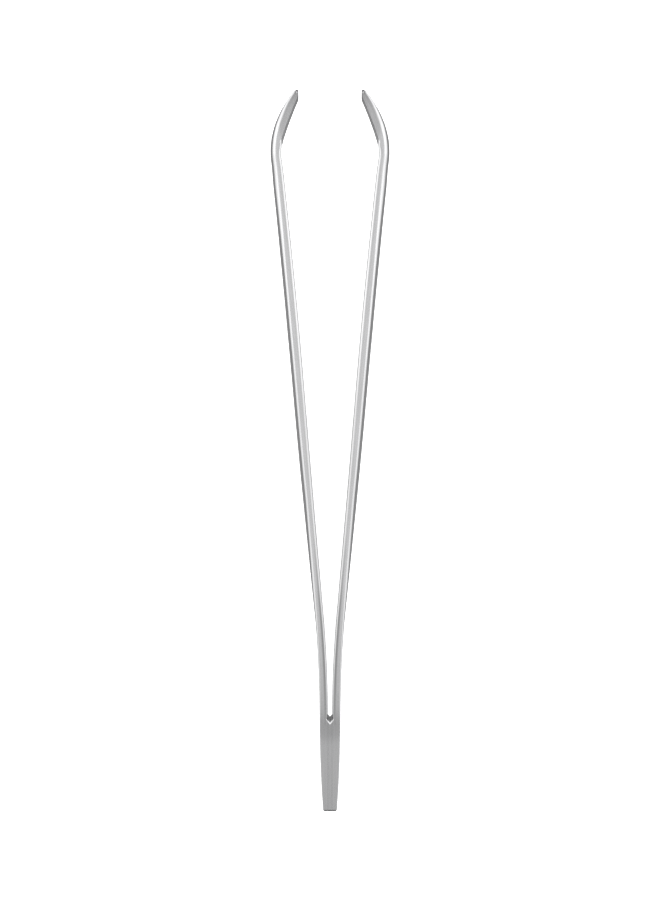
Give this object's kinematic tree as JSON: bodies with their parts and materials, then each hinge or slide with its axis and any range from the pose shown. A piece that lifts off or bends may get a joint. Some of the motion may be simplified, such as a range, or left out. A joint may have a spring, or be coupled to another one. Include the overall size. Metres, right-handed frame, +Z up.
{
  "type": "stamp tongs",
  "caption": "Sprung steel stamp tongs with two slanted smooth tips, joined at the tail by a spacer and flush-ground welds; both arms squeeze shut together.",
  "frame": {"origin": "centre of the footprint of the tongs lying on their side edges, on the surface they lie on", "axes": "+Y from the joined tail towards the tips, X the way the two arms open and close (right arm on +X), +Z up across the width of the arms"},
  "size_m": [0.0198, 0.12, 0.0095],
  "materials": {
    "arm_steel": "satin polished stainless steel, edges rounded",
    "weld_steel": "weld metal ground flush and satin polished"
  },
  "bodies": {
    "tail": {"tail_spacer": "arm_steel", "seam_weld": "weld_steel", "left_tail": "arm_steel", "left_spring": "arm_steel", "right_tail": "arm_steel", "right_spring": "arm_steel"},
    "left_arm": {"left_blade": "arm_steel"},
    "right_arm": {"right_blade": "arm_steel"}
  },
  "joints": [
    {"name": "left_arm_squeeze", "type": "hinge", "parent": "tail", "child": "left_arm", "pos_m": [-0.00139, -0.0325, 0.00475], "axis": [0, 0, -1], "range_deg": [0, 3.23], "stiffness_Nm_per_rad": 1.2, "deforming": ["left_spring"]},
    {"name": "right_arm_squeeze", "type": "hinge", "parent": "tail", "child": "right_arm", "pos_m": [0.00139, -0.0325, 0.00475], "axis": [0, 0, 1], "range_deg": [0, 3.23], "stiffness_Nm_per_rad": 1.2, "deforming": ["right_spring"]}
  ],
  "couplings": [
    {"joint": "right_arm_squeeze", "follows": "left_arm_squeeze", "ratio": 1}
  ]
}
